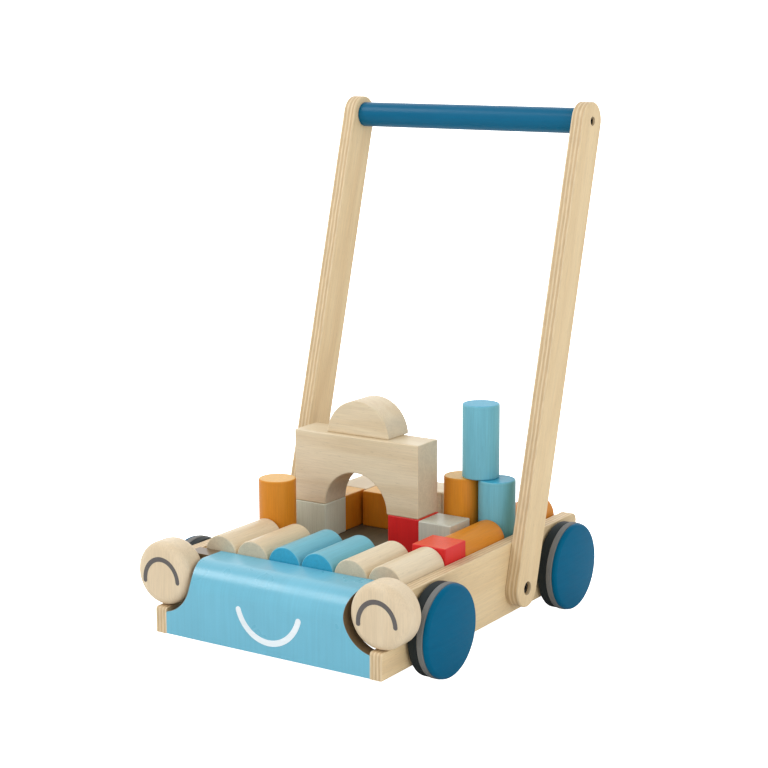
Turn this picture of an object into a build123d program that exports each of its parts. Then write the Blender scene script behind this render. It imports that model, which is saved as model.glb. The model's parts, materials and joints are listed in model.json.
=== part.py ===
from build123d import *
import math
import os

# Push-along baby walker: a wooden cart with four wheels, a tall rigid handle
# and a tray packed with loose building blocks.  Millimetres, +Z up, the face
# of the cart looks towards -Y.  While building, y = 0 is the front end of the
# side panels and z = 0 is the ground; every piece is moved back by half of
# the overall length at the end, so the origin is the middle of the footprint.
# The tray is as wide and as long as the blocks it carries, with their gaps.

os.makedirs("parts", exist_ok=True)

# ---------------------------------------------------------------- fits
glue_gap = 0.02         # radial room round a glued dowel
running_gap = 0.05      # radial room round an axle or a bolt
turn_gap = 0.3          # end play between a wheel and its neighbours
over = 1.0              # how far a cutting tool runs past a face
match = 0.01            # how near an edge lies to the place it is looked for

# ---------------------------------------------------------------- blocks
unit = 36.0             # edge of a cube, diameter of a cylinder
cube_round = 1.2
cylinder_round = 1.5
arch_opening_radius = 36.0
half_round_saw_loss = 2.0  # sawing takes this off the flat of the half round

# room between the blocks, and between them and the tray walls
block_gap = 0.4         # neighbours pushed together
row_gap = 0.4           # front row of six lying cylinders
wall_gap = 1.0          # right-hand column to the right wall
row_left_gap = 5.0      # front row to the left wall
column_gap = 0.4        # right-hand column, front to back
tower_front_gap = 0.4
tower_back_gap = 0.4
column_end_gap = 0.5    # right-hand column to the rear panel
blue_wall_gap = 2.8     # blue cylinder under the tower to the right wall
last_wall_gap = 6.4     # last cylinder of the column to the right wall
tower_pair_gap = 0.2
left_gap = 4.0          # left cylinder and rear bar to the left wall
left_cylinder_gap = 0.4
bridge_wall_gap = 4.2
bridge_foot_shift = 1.4  # red cube stands out from under the arch
half_round_shift_x = -1.2
half_round_shift_y = 6.2
half_round_lift_gap = 0.4  # left orange cube clear of the half round when lifted
white_gap = 1.0
white_forward = 3.4     # white cube stands forward of the bridge
cube_pair_gap = 1.0
rear_row_gap = 9.7      # rear row to the rear panel

# ---------------------------------------------------------------- wheels
tyre_radius = 42.9
tyre_proud = 0.5        # how far the rubber ring stands out of the wheel
tyre_width = 6.0
tyre_depth = 6.9        # radial thickness of the rubber ring
tyre_edge_round = 1.0
inner_disc_width = 9.9
outer_disc_width = 7.1
wheel_inner_round = 2.5
wheel_inner_chamfer = 0.6  # edges next to the rubber ring
wheel_outer_round = 3.6
wheel_dome = 2.8        # crown of the wheel's outer face
axle_radius = 3.0
axle_chamfer = 0.5
spacer_width = 2.0
spacer_radius = 8.0
nut_radius = 6.5        # push-on retaining nut
nut_thickness = 1.6
nut_pocket_radius = 8.0
nut_end_room = 0.6      # axle end standing past the nut
wheel_eye_room = 4.5    # front wheel behind the eye
rear_axle_inset = 42.5  # rear axle to the rear end of a side panel

# ---------------------------------------------------------------- chassis
side_thickness = 12.5
side_below_axle = 26.4
side_rise = 21.0        # side panel above the tray floor
side_round = 8.0        # rear corners of a side panel
side_edge_round = 1.0
nose_gap = 0.6          # low front part of a side panel to the eye above it

floor_height = 48.0     # tray floor above the bottom of a side panel
floor_thickness = 9.0
floor_tongue = 5.0      # floor edge sunk into each side panel
floor_eye_gap = 7.4     # tray floor behind the eyes
rear_panel_thickness = 10.5
rear_panel_rise = 15.0  # rear panel above the tray floor

# ---------------------------------------------------------------- face panel
face_depth = 52.0
face_proud = 1.0        # face panel above the side panels
face_wall = 12.5
face_bend = 26.0        # outer radius where the front turns into the top
face_edge_round = 1.2
lip_round = 3.0

# ---------------------------------------------------------------- eyes
eye_radius = 29.9
eye_thickness = 29.0
eye_setback = 1.6       # eye front behind the face panel front
eye_drop = 13.9         # eye centre below the top of a side panel
eye_front_round = 8.0
eye_back_round = 8.0
eye_gap = 4.1           # room between an eye and the scoop round it
eye_back_gap = 3.0      # scoop going on behind the eye

# ---------------------------------------------------------------- handle
arm_thickness = 14.0
arm_width = 36.8
arm_tilt = 15.5         # degrees back from upright
arm_hole_spacing = 449.1
arm_wheel_room = 20.8   # foot of an arm to the rear wheel
arm_edge_round = 1.5
bar_radius = 12.4
bar_end_round = 0.8
arm_bolt_radius = 3.0
arm_bolt_head_radius = 6.0
arm_bolt_head_height = 3.0
arm_bolt_chamfer = 0.5
arm_bolt_pocket_gap = 0.6   # radial room round the bolt head
arm_bolt_pocket_depth = 6.0
arm_nut_radius = 8.5
arm_nut_height = 6.0
arm_nut_chamfer = 0.8
arm_nut_room = 5.6      # nut below the tray floor
arm_dowel_radius = 4.0
arm_dowel_length = 13.0
arm_dowel_rise = 30.0   # along the arm, above the bolt
bar_screw_radius = 2.5
bar_screw_head_radius = 4.0
bar_screw_head_height = 2.5
bar_screw_chamfer = 0.4
bar_screw_pocket_gap = 0.4  # radial room round the screw head
bar_screw_pocket_depth = 4.5
bar_screw_length = 42.0
hex_socket_across = 4.0
hex_socket_depth = 1.8

# ---------------------------------------------------------------- dowels
dowel_radius = 3.0
dowel_length = 18.0
rear_low_dowel_rise = 14.0  # above the bottom of the rear panel
rear_top_dowel_drop = 12.0  # below its top
eye_dowel_radius = 4.0
eye_dowel_length = 40.0

# ---------------------------------------------------------------- tray and blocks, across and along
row_colours = ["natural", "natural", "blue", "blue", "natural", "natural"]
half = unit / 2
long_unit = 2 * unit
row_pitch = unit + row_gap
row_width = len(row_colours) * unit + (len(row_colours) - 1) * row_gap
inner_half_width = (row_left_gap + row_width + wall_gap) / 2

row_front = face_depth + block_gap
row_back = row_front + long_unit
red_right_y = row_back + column_gap
orange_right_y = red_right_y + unit + column_gap
tower_blue_front = orange_right_y + long_unit + tower_front_gap
orange_rear_y = tower_blue_front + unit + tower_back_gap
rear_panel_front = orange_rear_y + long_unit + column_end_gap
side_length = rear_panel_front + rear_panel_thickness

# ---------------------------------------------------------------- heights
axle_z = tyre_radius
side_bottom = axle_z - side_below_axle
floor_top = side_bottom + floor_height
floor_bottom = floor_top - floor_thickness
side_top = floor_top + side_rise
rear_panel_top = floor_top + rear_panel_rise
face_top = side_top + face_proud
eye_z = side_top - eye_drop
nose_top = eye_z - eye_radius - nose_gap
arm_bolt_z = floor_bottom - arm_nut_room - arm_nut_radius
deck_two = floor_top + unit
deck_three = floor_top + long_unit
arch_top = deck_two + long_unit

# ---------------------------------------------------------------- places along and across
eye_back = eye_setback + eye_thickness
scoop_depth = eye_back + eye_back_gap
floor_front = eye_back + floor_eye_gap
front_axle_y = eye_back + wheel_eye_room + tyre_radius
rear_axle_y = side_length - rear_axle_inset
arm_bolt_y = rear_axle_y - tyre_radius - arm_wheel_room - arm_width / 2

side_outer = inner_half_width + side_thickness
side_mid = inner_half_width + side_thickness / 2
wheel_radius = tyre_radius - tyre_proud
wheel_start = side_outer + spacer_width
tyre_start = wheel_start + inner_disc_width
outer_start = tyre_start + tyre_width
wheel_end = outer_start + outer_disc_width
tyre_seat_radius = tyre_radius - tyre_depth
arm_start = side_outer
arm_end = arm_start + arm_thickness
tilt = math.radians(arm_tilt)
bar_y = arm_bolt_y + arm_hole_spacing * math.sin(tilt)
bar_z = arm_bolt_z + arm_hole_spacing * math.cos(tilt)
length_overall = max(bar_y + arm_width / 2, rear_axle_y + tyre_radius, side_length)


# ---------------------------------------------------------------- helpers
def slab(x0, x1, y0, y1, z0, z1):
    """A plain box between two corners."""
    centre = Pos((x0 + x1) / 2, (y0 + y1) / 2, (z0 + z1) / 2)
    return centre * Box(x1 - x0, y1 - y0, z1 - z0)


def rod_x(x0, x1, y, z, radius):
    """A round bar along X."""
    return Pos((x0 + x1) / 2, y, z) * Rot(0, 90, 0) * Cylinder(radius, x1 - x0)


def rod_y(y0, y1, x, z, radius):
    """A round bar along Y."""
    return Pos(x, (y0 + y1) / 2, z) * Rot(90, 0, 0) * Cylinder(radius, y1 - y0)


def rod_z(z0, z1, x, y, radius):
    """A round bar along Z."""
    return Pos(x, y, (z0 + z1) / 2) * Cylinder(radius, z1 - z0)


def mirrored(shape, side):
    """The shape itself for side = 1, its mirror across the middle for -1."""
    if side > 0:
        return shape
    return mirror(shape, about=Plane.YZ)


def edges_along_x_at(shape, y, z):
    """Edges parallel to X that pass through a point of the YZ plane."""
    found = []
    for edge in shape.edges().filter_by(Axis.X):
        middle = edge.center()
        if abs(middle.Y - y) < match and abs(middle.Z - z) < match:
            found.append(edge)
    return found


def outline_edges(shape, x):
    """Edges that lie in the plane at x."""
    found = []
    for edge in shape.edges():
        box = edge.bounding_box()
        if abs(box.min.X - x) < match and abs(box.max.X - x) < match:
            found.append(edge)
    return found


def end_edges_x(shape, x):
    """Circular edges that lie in the plane at x."""
    return [e for e in outline_edges(shape, x) if e.geom_type == GeomType.CIRCLE]


def save(name, shape):
    """Write one node, moved so the origin is the middle of the footprint."""
    placed = Pos(0, -length_overall / 2, 0) * shape
    export_step(placed, "parts/" + name + ".step")


def save_group(name, shapes):
    """Write one node that holds several separate identical solids."""
    placed = [Pos(0, -length_overall / 2, 0) * shape.solid() for shape in shapes]
    export_step(Compound(placed), "parts/" + name + ".step")


# ---------------------------------------------------------------- fixings
# (y, z) of every dowel that joins a cross panel to the side panels
face_low_dowel = (face_wall / 2, (side_bottom + nose_top) / 2)
face_top_dowel = ((scoop_depth + face_depth) / 2, face_top - face_wall / 2)
rear_dowel_y = rear_panel_front + rear_panel_thickness / 2
rear_low_dowel = (rear_dowel_y, side_bottom + rear_low_dowel_rise)
rear_top_dowel = (rear_dowel_y, rear_panel_top - rear_top_dowel_drop)
panel_dowels = [face_low_dowel, face_top_dowel, rear_low_dowel, rear_top_dowel]

arm_dowel_y = arm_bolt_y + arm_dowel_rise * math.sin(tilt)
arm_dowel_z = arm_bolt_z + arm_dowel_rise * math.cos(tilt)


def panel_dowel(place, extra):
    """One dowel, or with extra room the hole it sits in, on the +X side."""
    y, z = place
    return rod_x(inner_half_width - dowel_length / 2 - extra,
                 inner_half_width + dowel_length / 2 + extra, y, z, dowel_radius + extra)


def eye_dowel(extra):
    """Dowel between an eye and the edge of its side panel, +X side."""
    return rod_y(eye_back - eye_dowel_length / 2 - extra,
                 eye_back + eye_dowel_length / 2 + extra, side_mid, eye_z, eye_dowel_radius + extra)


def arm_dowel(extra):
    """Hidden dowel that stops an arm from swinging on its bolt, +X side."""
    return rod_x(side_outer - arm_dowel_length / 2 - extra,
                 side_outer + arm_dowel_length / 2 + extra,
                 arm_dowel_y, arm_dowel_z, arm_dowel_radius + extra)


def hex_socket(x_mouth, y, z):
    """Blind hexagon socket sunk from a +X facing screw head."""
    prism = extrude(RegularPolygon(hex_socket_across / 2, 6, major_radius=False), hex_socket_depth)
    return Pos(x_mouth - hex_socket_depth, y, z) * Rot(0, 90, 0) * prism


# ---------------------------------------------------------------- side panels
def side_panel():
    """Right-hand side panel with a low nose in front of the eye."""
    outline = [
        (0, side_bottom),
        (side_length, side_bottom),
        (side_length, side_top),
        (eye_back, side_top),
        (eye_back, nose_top),
        (0, nose_top),
    ]
    face = Plane.YZ * make_face(Polyline(*outline, close=True))
    panel = Pos(inner_half_width, 0, 0) * extrude(face, side_thickness)
    panel = fillet(edges_along_x_at(panel, side_length, side_top), side_round)
    panel = fillet(edges_along_x_at(panel, side_length, side_bottom), side_round)
    panel = fillet(edges_along_x_at(panel, eye_back, nose_top), lip_round)
    panel = fillet(edges_along_x_at(panel, 0, nose_top), lip_round)
    panel = fillet(edges_along_x_at(panel, eye_back, side_top), lip_round)
    panel = fillet(outline_edges(panel, side_outer), side_edge_round)
    panel -= slab(inner_half_width - over, inner_half_width + floor_tongue,
                  floor_front, rear_panel_front, floor_bottom, floor_top)
    for y in (front_axle_y, rear_axle_y):
        panel -= rod_x(inner_half_width - over, side_outer + over, y, axle_z,
                       axle_radius + running_gap)
    panel -= rod_x(inner_half_width - over, side_outer + over, arm_bolt_y, arm_bolt_z,
                   arm_bolt_radius + running_gap)
    for place in panel_dowels:
        panel -= panel_dowel(place, glue_gap)
    panel -= eye_dowel(glue_gap)
    panel -= arm_dowel(glue_gap)
    return panel


right_panel = side_panel()
save("right_side_panel", right_panel)
save("left_side_panel", mirrored(right_panel, -1))

# ---------------------------------------------------------------- floor, rear panel
tray_floor = slab(-inner_half_width - floor_tongue, inner_half_width + floor_tongue,
                  floor_front, rear_panel_front, floor_bottom, floor_top)
save("tray_floor", tray_floor)

rear_panel = slab(-inner_half_width, inner_half_width, rear_panel_front, side_length,
                  side_bottom, rear_panel_top)
rear_panel = fillet(edges_along_x_at(rear_panel, rear_panel_front, rear_panel_top)
                    + edges_along_x_at(rear_panel, side_length, rear_panel_top)
                    + edges_along_x_at(rear_panel, side_length, side_bottom), side_edge_round)
for side in (1, -1):
    for place in (rear_low_dowel, rear_top_dowel):
        rear_panel -= mirrored(panel_dowel(place, glue_gap), side)
save("rear_panel", rear_panel)


# ---------------------------------------------------------------- face panel
def hood_profile(depth_in):
    """YZ outline of the bonnet, moved inwards by depth_in from its outer skin."""
    front = depth_in
    top = face_top - depth_in
    bend = face_bend - depth_in
    sketch = Polyline((front, side_bottom), (front, face_top - face_bend))
    arc = CenterArc((face_bend, face_top - face_bend), bend, 180, -90)
    cap = Polyline((face_bend, top), (face_depth, top))
    return sketch, arc, cap


def face_panel():
    """Bonnet with a vertical front that bends back into a flat top."""
    outer_front, outer_arc, outer_cap = hood_profile(0)
    inner_front, inner_arc, inner_cap = hood_profile(face_wall)
    bottom_line = Line((0, side_bottom), (face_wall, side_bottom))
    rear_line = Line((face_depth, face_top), (face_depth, face_top - face_wall))
    wires = outer_front + outer_arc + outer_cap + rear_line
    wires = wires + inner_cap + inner_arc + inner_front + bottom_line
    section = Plane.YZ * make_face(wires)
    hood = extrude(section, inner_half_width, both=True)
    hood = fillet(edges_along_x_at(hood, 0, side_bottom)
                  + edges_along_x_at(hood, face_depth, face_top), face_edge_round)
    scoop_radius = eye_radius + eye_gap
    for side in (1, -1):
        hood -= rod_y(-over, scoop_depth, side * side_mid, eye_z, scoop_radius)
        lip_drop = math.sqrt(scoop_radius ** 2 - (side_mid - inner_half_width) ** 2)
        lip_z = eye_z - lip_drop
        lips = []
        for edge in hood.edges().filter_by(Axis.Y):
            middle = edge.center()
            if abs(middle.X - side * inner_half_width) < match and abs(middle.Z - lip_z) < match:
                lips.append(edge)
        hood = fillet(lips, lip_round)
        for place in (face_low_dowel, face_top_dowel):
            hood -= mirrored(panel_dowel(place, glue_gap), side)
    return hood


save("face_panel", face_panel())


# ---------------------------------------------------------------- eyes
def eye():
    """Turned wooden disc with a rounded front edge, +X side."""
    disc = rod_y(eye_setback, eye_back, side_mid, eye_z, eye_radius)
    rims = disc.edges().filter_by(GeomType.CIRCLE).sort_by(Axis.Y)
    disc = fillet(rims[0], eye_front_round)
    rims = disc.edges().filter_by(GeomType.CIRCLE).sort_by(Axis.Y)
    disc = fillet(rims[-1], eye_back_round)
    return disc - eye_dowel(glue_gap)


right_eye = eye()
save("right_eye", right_eye)
save("left_eye", mirrored(right_eye, -1))
save_group("eye_dowels", [mirrored(eye_dowel(0), side) for side in (1, -1)])
save_group("panel_dowels", [mirrored(panel_dowel(place, 0), side)
                            for side in (1, -1) for place in panel_dowels])


# ---------------------------------------------------------------- handle
def arm():
    """Right-hand arm: a flat bar with round ends, leaning back."""
    bar = slab(arm_start, arm_end, -arm_width / 2, arm_width / 2, 0, arm_hole_spacing)
    bar += rod_x(arm_start, arm_end, 0, 0, arm_width / 2)
    bar += rod_x(arm_start, arm_end, 0, arm_hole_spacing, arm_width / 2)
    bar = fillet(outline_edges(bar, arm_end) + outline_edges(bar, arm_start), arm_edge_round)
    bar = Pos(0, arm_bolt_y, arm_bolt_z) * Rot(-arm_tilt, 0, 0) * bar
    bar -= rod_x(arm_start - over, arm_end + over, arm_bolt_y, arm_bolt_z,
                 arm_bolt_radius + running_gap)
    bar -= rod_x(arm_end - arm_bolt_pocket_depth, arm_end + over, arm_bolt_y, arm_bolt_z,
                 arm_bolt_head_radius + arm_bolt_pocket_gap)
    bar -= rod_x(arm_start - over, arm_end + over, bar_y, bar_z, bar_screw_radius + running_gap)
    bar -= rod_x(arm_end - bar_screw_pocket_depth, arm_end + over, bar_y, bar_z,
                 bar_screw_head_radius + bar_screw_pocket_gap)
    bar -= arm_dowel(glue_gap)
    return bar


right_arm = arm()
save("right_arm", right_arm)
save("left_arm", mirrored(right_arm, -1))


def arm_bolt():
    """Socket-head bolt from the arm's pocket through the side panel, +X side."""
    head_seat = arm_end - arm_bolt_pocket_depth
    head_end = head_seat + arm_bolt_head_height
    bolt = rod_x(inner_half_width - arm_nut_height, head_seat, arm_bolt_y, arm_bolt_z,
                 arm_bolt_radius)
    bolt += rod_x(head_seat, head_end, arm_bolt_y, arm_bolt_z, arm_bolt_head_radius)
    bolt = chamfer(end_edges_x(bolt, head_end), arm_bolt_chamfer)
    return bolt - hex_socket(head_end, arm_bolt_y, arm_bolt_z)


def arm_nut():
    """Round flange nut on the inside of the side panel, +X side."""
    nut = rod_x(inner_half_width - arm_nut_height, inner_half_width, arm_bolt_y, arm_bolt_z,
                arm_nut_radius)
    nut = chamfer(end_edges_x(nut, inner_half_width - arm_nut_height), arm_nut_chamfer)
    return nut - rod_x(inner_half_width - arm_nut_height - over, inner_half_width + over,
                       arm_bolt_y, arm_bolt_z, arm_bolt_radius + running_gap)


save_group("arm_bolts", [mirrored(arm_bolt(), side) for side in (1, -1)])
save_group("arm_nuts", [mirrored(arm_nut(), side) for side in (1, -1)])
save_group("arm_dowels", [mirrored(arm_dowel(0), side) for side in (1, -1)])


def bar_screw(extra):
    """Screw from an arm's pocket into the end of the handle bar, +X side."""
    head_seat = arm_end - bar_screw_pocket_depth
    return rod_x(head_seat - bar_screw_length - extra, head_seat, bar_y, bar_z,
                 bar_screw_radius + extra)


def bar_screw_with_head():
    """The whole screw, +X side."""
    head_seat = arm_end - bar_screw_pocket_depth
    head_end = head_seat + bar_screw_head_height
    screw = bar_screw(0) + rod_x(head_seat, head_end, bar_y, bar_z, bar_screw_head_radius)
    screw = chamfer(end_edges_x(screw, head_end), bar_screw_chamfer)
    return screw - hex_socket(head_end, bar_y, bar_z)


handle_bar = rod_x(-arm_start, arm_start, bar_y, bar_z, bar_radius)
handle_bar = fillet(handle_bar.edges().filter_by(GeomType.CIRCLE), bar_end_round)
for side in (1, -1):
    handle_bar -= mirrored(bar_screw(running_gap), side)
save("handle_bar", handle_bar)
save_group("handle_bar_screws", [mirrored(bar_screw_with_head(), side) for side in (1, -1)])

# ---------------------------------------------------------------- axles
nut_seat = outer_start - nut_thickness - nut_end_room - turn_gap
axle_end = nut_seat + nut_thickness + nut_end_room


def axle(y):
    """Steel rod through both side panels, with chamfered ends."""
    rod = rod_x(-axle_end, axle_end, y, axle_z, axle_radius)
    return chamfer(rod.edges().filter_by(GeomType.CIRCLE), axle_chamfer)


save("front_axle", axle(front_axle_y))
save("rear_axle", axle(rear_axle_y))


def ring_x(x0, x1, y, z, radius, hole):
    """A flat washer-like ring along X."""
    return rod_x(x0, x1, y, z, radius) - rod_x(x0 - over, x1 + over, y, z, hole)


axle_places = [(side, y) for y in (front_axle_y, rear_axle_y) for side in (1, -1)]
save_group("axle_spacers", [
    mirrored(ring_x(side_outer, wheel_start - turn_gap, y, axle_z, spacer_radius,
                    axle_radius + running_gap), side)
    for side, y in axle_places])
save_group("axle_push_nuts", [
    mirrored(ring_x(nut_seat, nut_seat + nut_thickness, y, axle_z, nut_radius,
                    axle_radius + glue_gap), side)
    for side, y in axle_places])


# ---------------------------------------------------------------- wheels
def wheel_hub(y):
    """Inner wooden disc with the seat for the rubber ring, +X side."""
    disc = rod_x(wheel_start, tyre_start, y, axle_z, wheel_radius)
    disc = fillet(end_edges_x(disc, wheel_start), wheel_inner_round)
    disc = fillet(end_edges_x(disc, tyre_start), wheel_inner_chamfer)
    disc += rod_x(tyre_start - over, outer_start, y, axle_z, tyre_seat_radius)
    disc -= rod_x(wheel_start - over, outer_start + over, y, axle_z, axle_radius + running_gap)
    pocket_start = nut_seat - turn_gap
    return disc - rod_x(pocket_start, outer_start + over, y, axle_z, nut_pocket_radius)


def wheel_face(y):
    """Outer wooden disc with a crowned face and a well-rounded rim, +X side."""
    disc = rod_x(outer_start, wheel_end, 0, 0, wheel_radius)
    disc = chamfer(end_edges_x(disc, outer_start), wheel_inner_chamfer)
    crown_radius = (wheel_radius ** 2 + wheel_dome ** 2) / (2 * wheel_dome)
    disc &= Pos(wheel_end - crown_radius, 0, 0) * Sphere(crown_radius)
    rim = []
    for edge in disc.edges():
        box = edge.bounding_box()
        if box.min.X > wheel_end - wheel_dome - match and box.size.X < match:
            rim.append(edge)
    disc = fillet(rim, wheel_outer_round)
    return Pos(0, y, axle_z) * disc


def wheel_tyre(y):
    """Rubber ring between the two wooden discs, +X side."""
    ring = ring_x(tyre_start, outer_start, y, axle_z, tyre_radius, tyre_seat_radius)
    rims = [e for e in end_edges_x(ring, tyre_start) + end_edges_x(ring, outer_start)
            if abs(e.radius - tyre_radius) < match]
    return fillet(rims, tyre_edge_round)


wheel_places = {
    "front_right": (1, front_axle_y),
    "front_left": (-1, front_axle_y),
    "rear_right": (1, rear_axle_y),
    "rear_left": (-1, rear_axle_y),
}
for corner_name, (side, y) in wheel_places.items():
    save(corner_name + "_wheel_hub", mirrored(wheel_hub(y), side))
    save(corner_name + "_wheel_face", mirrored(wheel_face(y), side))
    save(corner_name + "_tyre_ring", mirrored(wheel_tyre(y), side))


# ---------------------------------------------------------------- blocks
def bar_block(x, y, z, size_x, size_y, size_z):
    """Wooden block from its low corner, with softened edges."""
    block = slab(x, x + size_x, y, y + size_y, z, z + size_z)
    return fillet(block.edges(), cube_round)


def lying_cylinder(x, y):
    """Wooden cylinder lying on the tray floor along Y, y is its front end."""
    block = rod_y(y, y + long_unit, x, floor_top + half, half)
    return fillet(block.edges().filter_by(GeomType.CIRCLE), cylinder_round)


def standing_cylinder(x, y, z):
    """Wooden cylinder standing on its end at height z."""
    block = rod_z(z, z + long_unit, x, y, half)
    return fillet(block.edges().filter_by(GeomType.CIRCLE), cylinder_round)


def cube(name, x, y):
    """One cube on the tray floor, from its low corner."""
    save(name, bar_block(x, y, floor_top, unit, unit, unit))


# front row, counted from the left
row_first_x = -inner_half_width + row_left_gap + half
for number, colour in enumerate(row_colours, start=1):
    row_x = row_first_x + row_pitch * (number - 1)
    save("front_row_cylinder_" + str(number) + "_" + colour, lying_cylinder(row_x, row_front))

# right-hand column, front to back
column_x = inner_half_width - wall_gap - half
cube("red_cube_right", column_x - half, red_right_y)
save("orange_cylinder_right", lying_cylinder(column_x, orange_right_y))
tower_blue_x = inner_half_width - blue_wall_gap - half
tower_blue_y = tower_blue_front + half
save("blue_cylinder_under_tower", standing_cylinder(tower_blue_x, tower_blue_y, floor_top))
last_x = inner_half_width - last_wall_gap - half
save("orange_cylinder_rear", lying_cylinder(last_x, orange_rear_y))

# bridge: two cubes, the arch and a half round
arch_length = 2 * long_unit
bridge_x = -inner_half_width + bridge_wall_gap
bridge_y = row_back + long_unit
red_x = bridge_x + arch_length - unit + bridge_foot_shift
cube("grey_cube_under_arch", bridge_x, bridge_y)
cube("red_cube_under_arch", red_x, bridge_y)
arch = slab(bridge_x, bridge_x + arch_length, bridge_y, bridge_y + unit, deck_two, arch_top)
arch_middle = bridge_x + arch_length / 2
arch -= rod_y(bridge_y - over, bridge_y + unit + over, arch_middle, deck_two, arch_opening_radius)
arch = fillet(arch.edges(), cube_round)
save("arch_block", arch)
half_round_x = arch_middle + half_round_shift_x
half_round_y = bridge_y + half_round_shift_y
half_round = rod_y(half_round_y, half_round_y + unit, half_round_x,
                   arch_top - half_round_saw_loss, unit)
half_round &= slab(half_round_x - long_unit, half_round_x + long_unit, half_round_y - over,
                   half_round_y + unit + over, arch_top, arch_top + long_unit)
half_round = fillet(half_round.edges(), cube_round)
save("half_round_block", half_round)

# behind the bridge: two orange cubes, and natural blocks up to the rear panel
left_x = -inner_half_width + left_gap
orange_left_y = bridge_y + unit + block_gap
cube("orange_cube_left", half_round_x - unit - half_round_lift_gap - unit, orange_left_y)
rear_bar_y = orange_left_y + unit + block_gap
save("natural_bar_rear_left", bar_block(left_x, rear_bar_y, floor_top, unit, long_unit, unit))
rear_row_x = left_x + unit + cube_pair_gap
rear_row_y = rear_panel_front - rear_row_gap - unit
cube("orange_cube_rear", rear_row_x, rear_row_y - block_gap - unit)
save("natural_bar_rear_middle",
     bar_block(rear_row_x, rear_row_y, floor_top, long_unit, unit, unit))
cube("natural_cube_rear", rear_row_x + long_unit + block_gap, rear_row_y)

# white cube beside the bridge
white_y = bridge_y - white_forward
cube("white_cube", red_x + unit + white_gap, white_y)

# standing cylinders
left_cylinder_y = row_back + left_cylinder_gap + half
save("orange_cylinder_left", standing_cylinder(left_x + half, left_cylinder_y, floor_top))
tower_orange_x = tower_blue_x - unit - tower_pair_gap
tower_orange_y = white_y + unit + block_gap + half
save("orange_cylinder_under_tower", standing_cylinder(tower_orange_x, tower_orange_y, floor_top))
tower_top_x = (tower_orange_x + tower_blue_x) / 2
save("blue_cylinder_on_tower", standing_cylinder(tower_top_x, tower_blue_y, deck_three))
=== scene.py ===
import json
import math

import bmesh
import bpy
from mathutils import Matrix, Vector


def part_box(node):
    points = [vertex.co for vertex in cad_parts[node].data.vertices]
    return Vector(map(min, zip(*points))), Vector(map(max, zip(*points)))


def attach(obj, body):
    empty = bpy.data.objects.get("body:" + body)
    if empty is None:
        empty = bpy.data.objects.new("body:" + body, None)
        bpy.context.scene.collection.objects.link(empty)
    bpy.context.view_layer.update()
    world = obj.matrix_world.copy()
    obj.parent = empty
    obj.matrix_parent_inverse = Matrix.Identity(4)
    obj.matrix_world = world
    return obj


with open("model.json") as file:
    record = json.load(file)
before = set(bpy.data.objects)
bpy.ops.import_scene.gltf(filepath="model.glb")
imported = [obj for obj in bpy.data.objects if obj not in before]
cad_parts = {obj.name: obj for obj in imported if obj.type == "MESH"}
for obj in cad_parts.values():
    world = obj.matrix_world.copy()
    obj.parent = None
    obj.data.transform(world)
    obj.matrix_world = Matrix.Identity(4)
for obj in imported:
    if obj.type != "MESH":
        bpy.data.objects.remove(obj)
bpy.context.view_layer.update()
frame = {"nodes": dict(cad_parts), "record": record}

# Looks for the baby walker: painted strokes on the face, wood, paint, rubber
# and steel materials, a white studio and the camera.  Metres, row frame.


nodes = frame["nodes"]

MIX_FIRST = 6       # sockets of a Mix node in colour mode
MIX_SECOND = 7
MIX_RESULT = 2

AXES = {"X": (1.0, 0.0, 0.0), "Y": (0.0, 1.0, 0.0), "Z": (0.0, 0.0, 1.0)}
ARM_TILT = math.radians(15.5)
TURNING_WAVE = 5200.0   # fine lines a turned disc keeps, radians per metre
STROKE_RISE = 0.00022   # paint stands this proud of the wood
STROKE_SINK = 0.00005   # and reaches this far into it
STROKE_SOFTNESS = 0.00035
STROKE_CAP_STEPS = 10


# ---------------------------------------------------------------- node helpers
def linear(red, green, blue):
    """Linear colour from 0-255 sRGB values."""
    channels = []
    for value in (red, green, blue):
        share = value / 255
        if share <= 0.04045:
            channels.append(share / 12.92)
        else:
            channels.append(((share + 0.055) / 1.055) ** 2.4)
    return (*channels, 1.0)


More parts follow.
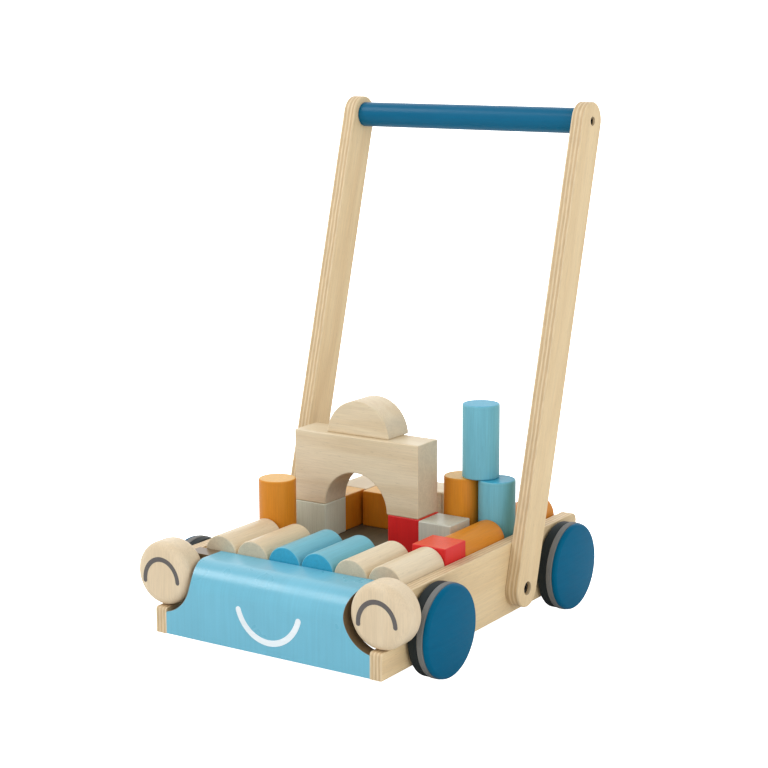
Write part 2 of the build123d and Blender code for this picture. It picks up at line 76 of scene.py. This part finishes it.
class Shader:
    """A material and short calls that add nodes to it."""

    def __init__(self, name):
        self.material = bpy.data.materials.new(name)
        self.material.use_nodes = True
        self.tree = self.material.node_tree
        self.surface = self.tree.nodes["Principled BSDF"]
        self.coords = self.tree.nodes.new("ShaderNodeTexCoord")

    def put(self, socket, value):
        """Links an output to a socket, or sets a constant on it."""
        if isinstance(value, bpy.types.NodeSocket):
            self.tree.links.new(value, socket)
        elif socket.type == "VECTOR" and hasattr(value, "__len__"):
            socket.default_value = value[:3]
        elif socket.type == "VECTOR":
            socket.default_value = (value, value, value)
        else:
            socket.default_value = value

    def math(self, operation, first, second=0.0):
        node = self.tree.nodes.new("ShaderNodeMath")
        node.operation = operation
        self.put(node.inputs[0], first)
        self.put(node.inputs[1], second)
        return node.outputs[0]

    def vector_math(self, operation, first, second):
        node = self.tree.nodes.new("ShaderNodeVectorMath")
        node.operation = operation
        self.put(node.inputs[0], first)
        self.put(node.inputs[1], second)
        if operation == "DOT_PRODUCT":
            return node.outputs["Value"]
        return node.outputs["Vector"]

    def mapped(self, scale, offset=(0.0, 0.0, 0.0), turn=(0.0, 0.0, 0.0)):
        """Object coordinates, turned and then scaled along each axis."""
        turned = self.coords.outputs["Object"]
        if any(turn):
            first = self.tree.nodes.new("ShaderNodeMapping")
            self.put(first.inputs["Vector"], turned)
            first.inputs["Rotation"].default_value = turn
            turned = first.outputs["Vector"]
        second = self.tree.nodes.new("ShaderNodeMapping")
        self.put(second.inputs["Vector"], turned)
        second.inputs["Scale"].default_value = scale
        second.inputs["Location"].default_value = offset
        return second.outputs["Vector"]

    def noise(self, vector, detail=3.0, roughness=0.5, distortion=0.0):
        node = self.tree.nodes.new("ShaderNodeTexNoise")
        self.put(node.inputs["Vector"], vector)
        node.inputs["Scale"].default_value = 1.0    # mapped() has set the scale
        node.inputs["Detail"].default_value = detail
        node.inputs["Roughness"].default_value = roughness
        node.inputs["Distortion"].default_value = distortion
        return node.outputs["Fac"]

    def span(self, value, low, high, out_low=0.0, out_high=1.0):
        """Maps low..high to out_low..out_high and clamps."""
        node = self.tree.nodes.new("ShaderNodeMapRange")
        node.interpolation_type = "SMOOTHSTEP"
        self.put(node.inputs["Value"], value)
        node.inputs["From Min"].default_value = low
        node.inputs["From Max"].default_value = high
        node.inputs["To Min"].default_value = out_low
        node.inputs["To Max"].default_value = out_high
        return node.outputs["Result"]

    def mix(self, share, first, second):
        node = self.tree.nodes.new("ShaderNodeMix")
        node.data_type = "RGBA"
        self.put(node.inputs["Factor"], share)
        self.put(node.inputs[MIX_FIRST], first)
        self.put(node.inputs[MIX_SECOND], second)
        return node.outputs[MIX_RESULT]

    def facing(self, axis):
        """How squarely a face looks along an axis, 0 to 1."""
        dot = self.vector_math("DOT_PRODUCT", self.coords.outputs["Normal"], axis)
        return self.math("ABSOLUTE", dot)

    def distance_from(self, centre, keep):
        """Distance from a line through a point, keep drops the line's own axis."""
        offset = self.vector_math("SUBTRACT", self.coords.outputs["Object"], centre)
        flat = self.vector_math("MULTIPLY", offset, keep)
        node = self.tree.nodes.new("ShaderNodeVectorMath")
        node.operation = "LENGTH"
        self.put(node.inputs[0], flat)
        return node.outputs["Value"]

    def edge(self, radius=0.0009):
        """1 on rounded and sharp edges, 0 on flat faces."""
        bevel = self.tree.nodes.new("ShaderNodeBevel")
        bevel.samples = 4
        bevel.inputs["Radius"].default_value = radius
        geometry = self.tree.nodes.new("ShaderNodeNewGeometry")
        same = self.vector_math("DOT_PRODUCT", bevel.outputs["Normal"], geometry.outputs["Normal"])
        return self.span(same, 0.995, 0.90)

    def bump(self, height, strength, distance=0.0004):
        node = self.tree.nodes.new("ShaderNodeBump")
        node.inputs["Strength"].default_value = strength
        node.inputs["Distance"].default_value = distance
        self.put(node.inputs["Height"], height)
        self.tree.links.new(node.outputs["Normal"], self.surface.inputs["Normal"])

    def finish(self, colour, roughness, specular, metallic=0.0):
        self.put(self.surface.inputs["Base Color"], colour)
        self.put(self.surface.inputs["Roughness"], roughness)
        self.surface.inputs["Specular IOR Level"].default_value = specular
        self.surface.inputs["Metallic"].default_value = metallic
        return self.material


# ---------------------------------------------------------------- wood grain
def stretched(axis, along, across):
    """Texture scale that is fine across the grain and coarse along its axis or axes."""
    return tuple(along if name in axis else across for name in "XYZ")


def grain_layers(shader, axis, seed, turn):
    """Broad figure, fine fibres and short pores of wood sawn along an axis."""
    offset = (seed * 1.7, seed * 2.3, seed * 0.9)
    figure = shader.noise(shader.mapped(stretched(axis, 5.0, 55.0), offset, turn), detail=4.0,
                          distortion=0.6)
    fibre = shader.noise(shader.mapped(stretched(axis, 30.0, 900.0), offset, turn), detail=3.0,
                         roughness=0.65)
    pores = shader.noise(shader.mapped(stretched(axis, 130.0, 1700.0), offset, turn), detail=2.0)
    return figure, fibre, pores


def wood(name, light, dark, end, axis="Y", seed=0.0, turn=(0.0, 0.0, 0.0), figure_share=0.55,
         pore_share=0.15, roughness=0.38, specular=0.3):
    """Solid wood, bare or stained: long grain on the sides, end grain at the ends."""
    shader = Shader(name)
    figure, fibre, pores = grain_layers(shader, axis, seed, turn)
    base = shader.mix(shader.span(figure, 0.35, 0.68, 0.0, figure_share), light, dark)
    streak = shader.span(fibre, 0.30, 0.75, 0.93, 1.05)
    pore = shader.span(pores, 0.62, 0.74, 1.0, 1.0 - pore_share)
    long_grain = shader.vector_math("MULTIPLY", base, shader.math("MULTIPLY", streak, pore))
    rings = shader.noise(shader.mapped(stretched(axis, 2.0, 170.0), (seed, seed, seed), turn),
                         detail=2.0, distortion=1.6)
    speck = shader.noise(shader.mapped((1500.0, 1500.0, 1500.0)), detail=2.0)
    end_tone = shader.math("MULTIPLY", shader.span(rings, 0.35, 0.65, 0.95, 1.03),
                           shader.span(speck, 0.40, 0.70, 1.02, 0.93))
    end_grain = shader.vector_math("MULTIPLY", end, end_tone)
    axis_vector = Vector(AXES[axis])
    if any(turn):
        axis_vector = Matrix.Rotation(-turn[0], 3, "X") @ axis_vector
    at_end = shader.span(shader.facing(tuple(axis_vector)), 0.75, 0.92)
    colour = shader.mix(at_end, long_grain, end_grain)
    # painted highlight: edges are lightened towards warm white
    colour = shader.mix(shader.math("MULTIPLY", shader.edge(), 0.22), colour,
                        (1.0, 0.97, 0.90, 1.0))
    height = shader.math("SUBTRACT", fibre, shader.math("MULTIPLY", shader.span(pores, 0.6, 0.72), 0.6))
    shader.bump(height, 0.07)
    rough = shader.span(fibre, 0.25, 0.75, roughness - 0.05, roughness + 0.07)
    return shader.finish(colour, rough, specular)


def plywood(name, low, high, grain="Y", turn=(0.0, 0.0, 0.0), plies=7, seed=0.0):
    """Plywood with veneer on its X faces and its layers showing on the edges."""
    shader = Shader(name)
    figure, fibre, pores = grain_layers(shader, grain, seed, turn)
    face_light = linear(*VENEER_LIGHT)
    face_dark = linear(*VENEER_DARK)
    veneer = shader.mix(shader.span(figure, 0.32, 0.70, 0.0, 0.75), face_light, face_dark)
    tone = shader.math("MULTIPLY", shader.span(fibre, 0.30, 0.75, 0.93, 1.05),
                       shader.span(pores, 0.62, 0.74, 1.0, 0.80))
    veneer = shader.vector_math("MULTIPLY", veneer, tone)
    parts = shader.tree.nodes.new("ShaderNodeSeparateXYZ")
    shader.put(parts.inputs[0], shader.coords.outputs["Object"])
    wobble = shader.noise(shader.mapped((30.0, 25.0, 25.0), (seed, seed, seed)), detail=2.0)
    depth = shader.math("MULTIPLY", shader.math("SUBTRACT", parts.outputs["X"], low),
                        plies / (high - low))
    depth = shader.math("ADD", depth, shader.span(wobble, 0.2, 0.8, -0.16, 0.16))
    within = shader.math("FRACT", depth)
    pair = shader.math("FRACT", shader.math("MULTIPLY", depth, 0.5))
    cross = shader.math("GREATER_THAN", pair, 0.5)
    glue = shader.math("GREATER_THAN", shader.math("ABSOLUTE", shader.math("SUBTRACT", within, 0.5)),
                       0.43)
    layer = shader.mix(cross, linear(*PLY_LIGHT), linear(*PLY_DARK))
    layer = shader.mix(shader.math("MULTIPLY", glue, 0.30), layer, linear(*PLY_GLUE))
    streaks = shader.noise(shader.mapped((700.0, 90.0, 90.0), (seed, 0.0, 0.0)), detail=3.0)
    layer = shader.vector_math("MULTIPLY", layer, shader.span(streaks, 0.3, 0.7, 0.90, 1.06))
    on_face = shader.span(shader.facing(AXES["X"]), 0.55, 0.85)
    colour = shader.mix(on_face, layer, veneer)
    # painted highlight: edges are lightened towards warm white
    colour = shader.mix(shader.math("MULTIPLY", shader.edge(), 0.15), colour, (1.0, 0.96, 0.88, 1.0))
    height = shader.math("ADD", fibre, shader.math("MULTIPLY", shader.math("SUBTRACT", 1.0, on_face),
                                                   shader.math("MULTIPLY", cross, 0.6)))
    shader.bump(height, 0.10)
    rough = shader.span(fibre, 0.25, 0.75, 0.42, 0.54)
    return shader.finish(colour, rough, 0.35)


def paint(name, colour, edge_highlight, grain="X", seed=0.0, roughness=0.36, specular=0.5, rings_at=None,
          bare=None):
    """Satin paint on wood: soft mottling, faint grain under it, and a painted highlight along the
    edges.

    rings_at is the centre of a turned piece, and bare is a list of round cut-outs
    (centre, radius) whose walls show bare wood darkened with painted shade.
    """
    shader = Shader(name)
    offset = (seed, seed * 1.3, seed * 0.7)
    cloud = shader.noise(shader.mapped((18.0, 18.0, 18.0), offset), detail=4.0)
    fibre = shader.noise(shader.mapped(stretched(grain, 14.0, 420.0), offset), detail=3.0)
    peel = shader.noise(shader.mapped((1400.0, 1400.0, 1400.0), offset), detail=2.0)
    tone = shader.math("MULTIPLY", shader.span(cloud, 0.25, 0.75, 0.96, 1.04),
                       shader.span(fibre, 0.25, 0.75, 0.97, 1.03))
    base = shader.vector_math("MULTIPLY", colour, tone)
    # painted highlight: the edges are lightened towards the paler second colour
    base = shader.mix(shader.math("MULTIPLY", shader.edge(), 0.30), base, edge_highlight)
    for centre, radius in bare or ():
        away = shader.distance_from(centre, (1.0, 0.0, 1.0))
        shaded_cut_wall = shader.span(away, radius + 0.0002, radius + 0.0006, 1.0, 0.0)
        # painted shade: the cut-out walls take a dark bare-wood colour
        base = shader.mix(shaded_cut_wall, base, linear(*SHADED_BARE_WOOD))
    height = shader.math("ADD", shader.math("MULTIPLY", fibre, 0.8), shader.math("MULTIPLY", peel, 0.4))
    if rings_at is not None:
        away = shader.distance_from(rings_at, (0.0, 1.0, 1.0))
        turned = shader.math("SINE", shader.math("MULTIPLY", away, TURNING_WAVE))
        height = shader.math("ADD", height, shader.math("MULTIPLY", turned, 0.12))
    shader.bump(height, 0.10)
    rough = shader.span(cloud, 0.3, 0.7, roughness - 0.04, roughness + 0.06)
    return shader.finish(base, rough, specular)


def rubber(name, colour, seed=0.0):
    """Matt moulded rubber with fine grain, lighter along its edges."""
    shader = Shader(name)
    fine = shader.noise(shader.mapped((2200.0, 2200.0, 2200.0), (seed, 0.0, 0.0)), detail=3.0)
    cloud = shader.noise(shader.mapped((60.0, 60.0, 60.0), (seed, 0.0, 0.0)), detail=3.0)
    tone = shader.math("MULTIPLY", shader.span(fine, 0.3, 0.7, 0.93, 1.05),
                       shader.span(cloud, 0.3, 0.7, 0.92, 1.06))
    base = shader.vector_math("MULTIPLY", colour, tone)
    base = shader.mix(shader.math("MULTIPLY", shader.edge(0.0006), 0.25), base,
                      linear(190, 190, 186))
    shader.bump(fine, 0.25, 0.0003)
    return shader.finish(base, shader.span(cloud, 0.3, 0.7, 0.62, 0.78), 0.3)


def metal(name, colour, roughness=0.32, seed=0.0):
    """Drawn steel with fine lines along X and slight tarnish."""
    shader = Shader(name)
    lines = shader.noise(shader.mapped((20.0, 3000.0, 3000.0), (seed, 0.0, 0.0)), detail=2.0)
    cloud = shader.noise(shader.mapped((90.0, 90.0, 90.0), (seed, 0.0, 0.0)), detail=3.0)
    base = shader.vector_math("MULTIPLY", colour, shader.span(cloud, 0.3, 0.7, 0.85, 1.05))
    shader.bump(lines, 0.12, 0.0002)
    rough = shader.span(lines, 0.3, 0.7, roughness - 0.06, roughness + 0.10)
    return shader.finish(base, rough, 0.5, metallic=1.0)


def plastic(name, colour):
    """Black moulded plastic with a fine eroded texture."""
    shader = Shader(name)
    fine = shader.noise(shader.mapped((1800.0, 1800.0, 1800.0)), detail=3.0)
    base = shader.vector_math("MULTIPLY", colour, shader.span(fine, 0.3, 0.7, 0.8, 1.2))
    shader.bump(fine, 0.2, 0.0002)
    return shader.finish(base, shader.span(fine, 0.3, 0.7, 0.45, 0.6), 0.4)


# ---------------------------------------------------------------- colours, 0-255 sRGB
VENEER_LIGHT = (232, 208, 165)
VENEER_DARK = (220, 192, 147)
PLY_LIGHT = (222, 200, 162)
PLY_DARK = (204, 176, 136)
PLY_GLUE = (166, 130, 92)
NATURAL_LIGHT = (228, 212, 182)
NATURAL_DARK = (214, 192, 156)
NATURAL_END = (208, 194, 168)
EYE_LIGHT = (226, 207, 176)
EYE_DARK = (216, 194, 160)
# bare wood darkened by painted shade, for the scoop walls round the eyes
SHADED_BARE_WOOD = (112, 92, 66)
FACE_BLUE = (106, 182, 206)
DARK_BLUE = (0, 96, 132)
HUB_BLUE = (44, 50, 52)
SPECULAR_DEEP = 0.05    # the deep blue paint hardly shines

STAINS = {
    "natural": (NATURAL_LIGHT, NATURAL_DARK, NATURAL_END),
    "blue": ((116, 186, 204), (98, 170, 190), (56, 164, 198)),
    # The orange and red end colours are lighter than the sides: partly their end-grain tone, partly a
    # painted sheen of a lit top face.
    "orange": ((216, 138, 34), (200, 118, 24), (228, 176, 88)),
    "red": ((222, 40, 40), (206, 30, 34), (228, 78, 48)),
    "grey": ((208, 212, 194), (198, 202, 182), (206, 210, 192)),
    "white": ((204, 204, 190), (194, 194, 178), (198, 198, 182)),
}


def dress(node, material):
    """Gives a CAD node one material."""
    mesh = nodes[node].data
    mesh.materials.clear()
    mesh.materials.append(material)


def middle(node):
    """Centre of a CAD node's box."""
    low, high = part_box(node)
    return (low + high) / 2


# ---------------------------------------------------------------- CAD nodes: cart
EYE_GAP = 0.0041        # between an eye and the scoop round it
left_eye_low, left_eye_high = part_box("left_eye")
EYE_RADIUS = (left_eye_high.x - left_eye_low.x) / 2
for side in ("left", "right"):
    low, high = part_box(side + "_side_panel")
    dress(side + "_side_panel", plywood(side + "_panel_ply", low.x, high.x, "Y",
                                        seed=3.0 if side == "left" else 5.0))
    low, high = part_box(side + "_arm")
    dress(side + "_arm", plywood(side + "_arm_ply", low.x, high.x, "Z", (ARM_TILT, 0.0, 0.0),
                                 seed=8.0 if side == "left" else 11.0))
    dress(side + "_eye", wood(side + "_eye_wood", linear(*EYE_LIGHT), linear(*EYE_DARK),
                              linear(*EYE_LIGHT), "Z", seed=2.0 if side == "left" else 7.0,
                              pore_share=0.06, roughness=0.34))

dress("rear_panel", wood("rear_panel_wood", linear(*NATURAL_LIGHT), linear(*NATURAL_DARK),
                         linear(*NATURAL_END), "X", seed=21.0))
# painted shade: the tray floor's plywood is coloured the dark olive brown it shows in the shade of the
# tray
dress("tray_floor", wood("tray_board", linear(104, 94, 70), linear(84, 76, 56), linear(90, 80, 60),
                         "Y", seed=4.0, roughness=0.6))
scoops = [(tuple(middle(side + "_eye")), EYE_RADIUS + EYE_GAP) for side in ("left", "right")]
# The second colour given to each paint() call is the painted highlight along its edges.
dress("face_panel", paint("face_paint", linear(*FACE_BLUE), linear(190, 225, 236), "YZ", 1.0,
                          roughness=0.30, specular=0.6, bare=scoops))
dress("handle_bar", paint("bar_paint", linear(*DARK_BLUE), linear(60, 130, 165), "X", 6.0,
                          roughness=0.32, specular=0.15))
for node in ("eye_dowels", "panel_dowels", "arm_dowels"):
    dress(node, wood(node + "_wood", linear(222, 196, 150), linear(200, 168, 120),
                     linear(190, 160, 116), "X", seed=1.0))
for node in ("arm_bolts", "handle_bar_screws"):
    dress(node, metal(node + "_steel", linear(52, 50, 48), 0.42))
for node in ("front_axle", "rear_axle", "axle_push_nuts", "arm_nuts"):
    dress(node, metal(node + "_steel", linear(190, 190, 192), 0.30))
dress("axle_spacers", plastic("spacer_plastic", linear(30, 30, 32)))

# ---------------------------------------------------------------- CAD nodes: wheels
for number, corner in enumerate(("front_left", "front_right", "rear_left", "rear_right")):
    seed = 2.0 + 3.0 * number
    centre = tuple(middle(corner + "_tyre_ring"))
    dress(corner + "_wheel_face", paint(corner + "_face_paint", linear(*DARK_BLUE),
                                        linear(40, 120, 155), "Y", seed,
                                        specular=SPECULAR_DEEP, rings_at=centre))
    dress(corner + "_wheel_hub", paint(corner + "_hub_paint", linear(*HUB_BLUE),
                                       linear(60, 76, 90), "Y", seed + 1.0, roughness=0.45,
                                       specular=SPECULAR_DEEP, rings_at=centre))
    dress(corner + "_tyre_ring", rubber(corner + "_rubber", linear(122, 123, 122), seed))


# ---------------------------------------------------------------- CAD nodes: blocks
def block_grain(node):
    """The long side of a block, which its grain runs along."""
    low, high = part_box(node)
    size = high - low
    return max("XYZ", key=lambda name: size["XYZ".index(name)])


block_nodes = [entry["node"] for entry in frame["record"]["subparts"]
               if entry["material_slot"].startswith("block_")]
for number, node in enumerate(sorted(block_nodes)):
    stain = "natural"
    for colour in STAINS:
        if colour in node:
            stain = colour
    light, dark, end = (linear(*rgb) for rgb in STAINS[stain])
    bare = stain == "natural"
    dress(node, wood(node + "_wood", light, dark, end, block_grain(node), 1.0 + 4.1 * number,
                     figure_share=0.7 if bare else 0.45, pore_share=0.15 if bare else 0.08))


# ---------------------------------------------------------------- painted strokes
def stroke(name, centreline, width, surface_y, material, body):
    """A raised line of paint with round ends on a face that looks along -Y."""
    half = width / 2
    outline = []
    count = len(centreline)
    normals = []
    for index in range(count):
        before = centreline[max(index - 1, 0)]
        after = centreline[min(index + 1, count - 1)]
        direction = (after - before).normalized()
        normals.append(Vector((-direction.y, direction.x)))
    for index in range(count):
        outline.append(centreline[index] + normals[index] * half)
    for step in range(1, STROKE_CAP_STEPS):
        turn = Matrix.Rotation(-math.pi * step / STROKE_CAP_STEPS, 2)
        outline.append(centreline[-1] + turn @ normals[-1] * half)
    for index in reversed(range(count)):
        outline.append(centreline[index] - normals[index] * half)
    for step in range(1, STROKE_CAP_STEPS):
        turn = Matrix.Rotation(-math.pi * step / STROKE_CAP_STEPS, 2)
        outline.append(centreline[0] - turn @ normals[0] * half)
    shape = bmesh.new()
    foot = [shape.verts.new((p.x, surface_y + STROKE_SINK, p.y)) for p in outline]
    rim = [shape.verts.new((p.x, surface_y - STROKE_RISE * 0.7, p.y)) for p in outline]
    total = len(outline)
    inset = []
    for index, point in enumerate(outline):
        before = outline[index - 1]
        after = outline[(index + 1) % total]
        direction = (after - before).normalized()
        inward = Vector((direction.y, -direction.x))
        spot = point + inward * STROKE_SOFTNESS
        inset.append(shape.verts.new((spot.x, surface_y - STROKE_RISE, spot.y)))
    for ring_a, ring_b in ((foot, rim), (rim, inset)):
        for index in range(total):
            follow = (index + 1) % total
            shape.faces.new((ring_a[index], ring_a[follow], ring_b[follow], ring_b[index]))
    top = shape.faces.new(inset)
    bmesh.ops.recalc_face_normals(shape, faces=shape.faces)
    bmesh.ops.triangulate(shape, faces=[top], quad_method="BEAUTY", ngon_method="BEAUTY")
    mesh = bpy.data.meshes.new(name)
    shape.to_mesh(mesh)
    shape.free()
    mesh.materials.append(material)
    piece = bpy.data.objects.new(name, mesh)
    bpy.context.scene.collection.objects.link(piece)
    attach(piece, body)
    return piece


def arc_points(centre_x, centre_z, radius_x, radius_z, start, end, lean=0.0, steps=56):
    """Points of an elliptical arc in the XZ plane, angles in degrees."""
    points = []
    turn = Matrix.Rotation(math.radians(lean), 2)
    for step in range(steps + 1):
        angle = math.radians(start + (end - start) * step / steps)
        spot = turn @ Vector((radius_x * math.cos(angle), radius_z * math.sin(angle)))
        points.append(Vector((centre_x, centre_z)) + spot)
    return points


face_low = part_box("face_panel")[0]
smile_paint = paint("smile_paint", linear(236, 244, 248), linear(255, 255, 255), "X", 9.0, 0.5)
SMILE_X = 0.0043        # the smile sits a little off centre
SMILE_Z = 0.0650
SMILE_RADII = (0.0343, 0.0360)
SMILE_WIDTH = 0.0056
LID_Z = 0.0650
LID_RADII = (0.0190, 0.0205)
LID_WIDTH = 0.0044
LID_LEAN = 4.0
stroke("smile", arc_points(SMILE_X, SMILE_Z, *SMILE_RADII, 197.0, 343.0), SMILE_WIDTH,
               face_low.y, smile_paint, "cart")
lid_paint = paint("eyelid_paint", linear(98, 94, 92), linear(120, 114, 108), "X", 12.0, 0.55, 0.3)
for side in ("left", "right"):
    low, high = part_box(side + "_eye")
    lid_x = (low.x + high.x) / 2
    stroke(side + "_eyelid", arc_points(lid_x, LID_Z, *LID_RADII, 0.0, 180.0, LID_LEAN),
                   LID_WIDTH, low.y, lid_paint, "cart")


# ---------------------------------------------------------------- studio
def studio_floor():
    """A wide pale floor: a flat sheet that the wheels stand on."""
    shape = bmesh.new()
    verts = []
    for row in range(FLOOR_STEPS + 1):
        line = []
        for column in range(FLOOR_STEPS + 1):
            x = (column / FLOOR_STEPS - 0.5) * 2 * FLOOR_REACH
            y = (row / FLOOR_STEPS - 0.5) * 2 * FLOOR_REACH
            line.append(shape.verts.new((x, y, 0.0)))
        verts.append(line)
    for row in range(FLOOR_STEPS):
        for column in range(FLOOR_STEPS):
            shape.faces.new((verts[row][column], verts[row][column + 1],
                             verts[row + 1][column + 1], verts[row + 1][column]))
    mesh = bpy.data.meshes.new("studio_floor")
    shape.to_mesh(mesh)
    shape.free()
    floor = bpy.data.objects.new("studio_floor", mesh)
    bpy.context.scene.collection.objects.link(floor)
    shader = Shader("floor_paper")
    fine = shader.noise(shader.mapped((300.0, 300.0, 300.0)), detail=3.0)
    tone = shader.vector_math("MULTIPLY", (0.86, 0.86, 0.86), shader.span(fine, 0.3, 0.7, 0.99, 1.01))
    shader.finish(tone, 0.85, 0.1)
    path = shader.tree.nodes.new("ShaderNodeLightPath")
    shader.surface.inputs["Emission Color"].default_value = (1.0, 1.0, 1.0, 1.0)
    shader.put(shader.surface.inputs["Emission Strength"],
               shader.math("MULTIPLY", path.outputs["Is Camera Ray"], FLOOR_GLOW))
    mesh.materials.append(shader.material)


FLOOR_REACH = 12.0
FLOOR_STEPS = 24
FLOOR_GLOW = 1.3
BACKDROP_GLOW = 1.3     # what the lens sees behind the object
AMBIENT_BACK = 1.50     # light from the white wall behind the object
AMBIENT_FRONT = 0.68    # light from the room in front of it
BACK_WALL = (-0.54, 0.84, 0.0)
studio_floor()
bpy.context.scene.view_settings.view_transform = "Standard"


def studio_world():
    """A white room, brighter towards the wall behind the object."""
    world = bpy.data.worlds.new("studio")
    world.use_nodes = True
    tree = world.node_tree
    background = tree.nodes["Background"]
    background.inputs["Color"].default_value = (1.0, 1.0, 1.0, 1.0)
    coords = tree.nodes.new("ShaderNodeTexCoord")
    towards = tree.nodes.new("ShaderNodeVectorMath")
    towards.operation = "DOT_PRODUCT"
    tree.links.new(coords.outputs["Generated"], towards.inputs[0])
    towards.inputs[1].default_value = BACK_WALL
    room = tree.nodes.new("ShaderNodeMapRange")
    room.inputs["From Min"].default_value = 0.2
    room.inputs["From Max"].default_value = 0.9
    room.inputs["To Min"].default_value = AMBIENT_FRONT
    room.inputs["To Max"].default_value = AMBIENT_BACK
    tree.links.new(towards.outputs["Value"], room.inputs["Value"])
    path = tree.nodes.new("ShaderNodeLightPath")
    strength = tree.nodes.new("ShaderNodeMapRange")
    tree.links.new(path.outputs["Is Camera Ray"], strength.inputs["Value"])
    tree.links.new(room.outputs["Result"], strength.inputs["To Min"])
    strength.inputs["To Max"].default_value = BACKDROP_GLOW
    tree.links.new(strength.outputs["Result"], background.inputs["Strength"])
    bpy.context.scene.world = world


studio_world()


def area_light(name, place, aim, size, power):
    """A soft square light aimed at a point."""
    data = bpy.data.lights.new(name, "AREA")
    data.size = size
    data.energy = power
    light = bpy.data.objects.new(name, data)
    light.location = place
    direction = Vector(aim) - Vector(place)
    light.rotation_euler = direction.to_track_quat("-Z", "Y").to_euler()
    bpy.context.scene.collection.objects.link(light)


aim = (0.0, 0.0, 0.12)
area_light("key", (-1.25, -0.75, 1.75), aim, 0.9, 13.0)
area_light("front", (-0.6, -2.4, 1.0), aim, 1.4, 8.0)
area_light("side", (2.3, -0.6, 1.1), aim, 1.6, 14.0)

# ---------------------------------------------------------------- camera
# Three-quarter view from the front right, slightly above the handle.
CAMERA_PLACE = (0.95784, -1.44031, 0.57203)
CAMERA_YAW = math.radians(32.728)       # turned towards -X from straight along +Y
CAMERA_PITCH = math.radians(-10.229)
CAMERA_ROLL = math.radians(-0.127)
LENS_MM = 87.33
SHIFT = (-0.02942, -0.03930)

camera_data = bpy.data.cameras.new("camera")
camera_data.lens = LENS_MM
camera_data.sensor_width = 36.0
camera_data.shift_x, camera_data.shift_y = SHIFT
camera = bpy.data.objects.new("camera", camera_data)
bpy.context.scene.collection.objects.link(camera)
forward = Vector((-math.sin(CAMERA_YAW) * math.cos(CAMERA_PITCH),
                  math.cos(CAMERA_YAW) * math.cos(CAMERA_PITCH),
                  math.sin(CAMERA_PITCH)))
level_right = Vector((math.cos(CAMERA_YAW), math.sin(CAMERA_YAW), 0.0))
level_up = level_right.cross(forward)
right = math.cos(CAMERA_ROLL) * level_right + math.sin(CAMERA_ROLL) * level_up
up = right.cross(forward)
camera.matrix_world = Matrix((
    (right.x, up.x, -forward.x, CAMERA_PLACE[0]),
    (right.y, up.y, -forward.y, CAMERA_PLACE[1]),
    (right.z, up.z, -forward.z, CAMERA_PLACE[2]),
    (0.0, 0.0, 0.0, 1.0),
))
bpy.context.scene.camera = camera
